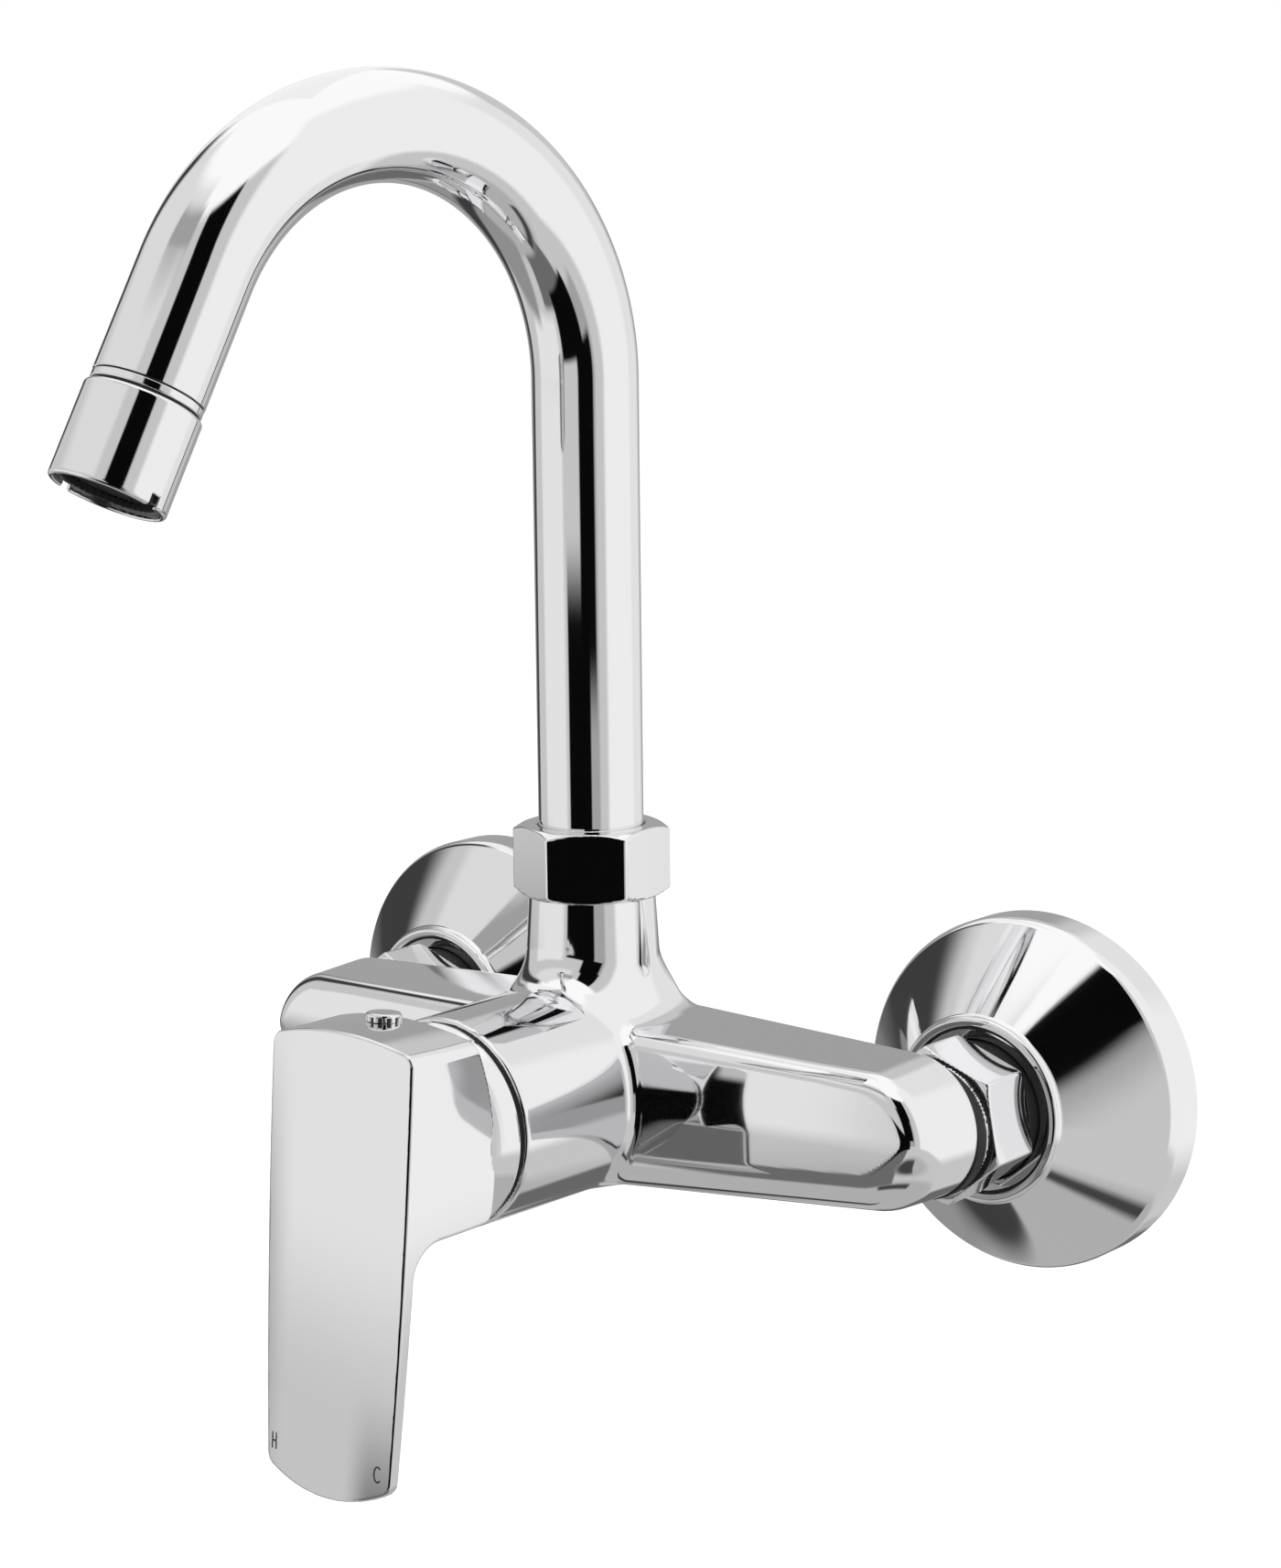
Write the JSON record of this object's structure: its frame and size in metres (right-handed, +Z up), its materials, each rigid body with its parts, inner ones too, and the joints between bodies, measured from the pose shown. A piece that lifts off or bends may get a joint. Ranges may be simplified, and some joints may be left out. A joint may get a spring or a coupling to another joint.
{
  "type": "wall-mounted sink mixer faucet",
  "caption": "Wall-mounted single-lever sink mixer with a swivelling gooseneck spout, aerator, conical wall flanges and a ceramic disc cartridge.",
  "frame": {"origin": "in the wall plane, midway between the hot and the cold inlet axis", "axes": "+Z up, +Y into the wall along the inlet threads, +X to the right as seen from the room; the room and the lever are towards -Y"},
  "size_m": [0.2258, 0.1998, 0.2788],
  "materials": {
    "body_chrome": "polished chrome plate over cast brass",
    "tube_chrome": "polished chrome plate over drawn tube",
    "ring_chrome": "polished chrome plate",
    "aerator_chrome": "polished chrome plate",
    "dome_chrome": "polished chrome plate",
    "spout_nut_chrome": "polished chrome plate",
    "union_nut_chrome": "polished chrome plate",
    "flange_chrome": "polished chrome plate over spun sheet",
    "lever_chrome": "polished chrome plate over cast zinc",
    "plug_chrome": "polished chrome plate",
    "steel": "plain machined steel",
    "mesh_steel": "woven stainless wire",
    "brass": "machined brass",
    "cartridge_plastic": "white moulded plastic",
    "slip_plastic": "white moulded plastic",
    "rotor_plastic": "dark moulded plastic",
    "black_plastic": "black moulded plastic",
    "ceramic": "lapped ceramic",
    "rubber": "black rubber"
  },
  "bodies": {
    "mixer": {"mixer_body": "body_chrome", "leg_left": "brass", "leg_right": "brass", "wall_flange_left": "flange_chrome", "wall_flange_right": "flange_chrome", "flange_grip_ring_left": "rubber", "flange_grip_ring_right": "rubber", "union_nut_left": "union_nut_chrome", "union_nut_right": "union_nut_chrome", "union_washer_left": "rubber", "union_washer_right": "rubber", "strainer_left": "mesh_steel", "strainer_right": "mesh_steel", "inlet_nipple_left": "brass", "inlet_nipple_right": "brass", "cartridge_housing": "cartridge_plastic", "cartridge_base": "cartridge_plastic", "base_seals": "rubber", "fixed_disc": "ceramic", "cartridge_nut": "brass", "dome_ring": "dome_chrome", "spout_nut": "spout_nut_chrome", "spout_slip_ring": "slip_plastic"},
    "spout": {"spout_tube": "tube_chrome", "spout_tail": "brass", "neck_seal_upper": "rubber", "neck_seal_lower": "rubber", "tube_end_ring": "ring_chrome", "aerator_housing": "aerator_chrome", "aerator_washer": "rubber", "aerator_insert": "black_plastic", "aerator_mesh": "mesh_steel"},
    "rotor": {"cartridge_rotor": "rotor_plastic", "stem_pin": "steel"},
    "lever": {"lever": "lever_chrome", "lever_stem": "steel", "lever_screw": "steel", "lever_plug": "plug_chrome"},
    "disc": {"moving_disc": "ceramic", "disc_carrier": "rotor_plastic"}
  },
  "joints": [
    {"name": "spout_swing", "type": "hinge", "parent": "mixer", "child": "spout", "pos_m": [0, -0.0592, 0.045], "axis": [0, 0, 1], "range_deg": [-90.8, 109.2]},
    {"name": "temperature_turn", "type": "hinge", "parent": "mixer", "child": "rotor", "pos_m": [0, -0.103, 0.003], "axis": [0, 1, 0], "range_deg": [-45, 45]},
    {"name": "flow_lift", "type": "hinge", "parent": "rotor", "child": "lever", "pos_m": [0, -0.103, 0.003], "axis": [-1, 0, 0], "range_deg": [0, 25]},
    {"name": "disc_slide", "type": "slide", "parent": "rotor", "child": "disc", "axis": [0, 0, -1], "range_m": [0, 0.00487]}
  ],
  "couplings": [
    {"joint": "disc_slide", "follows": "flow_lift", "m_per_rad": 0.011139}
  ]
}
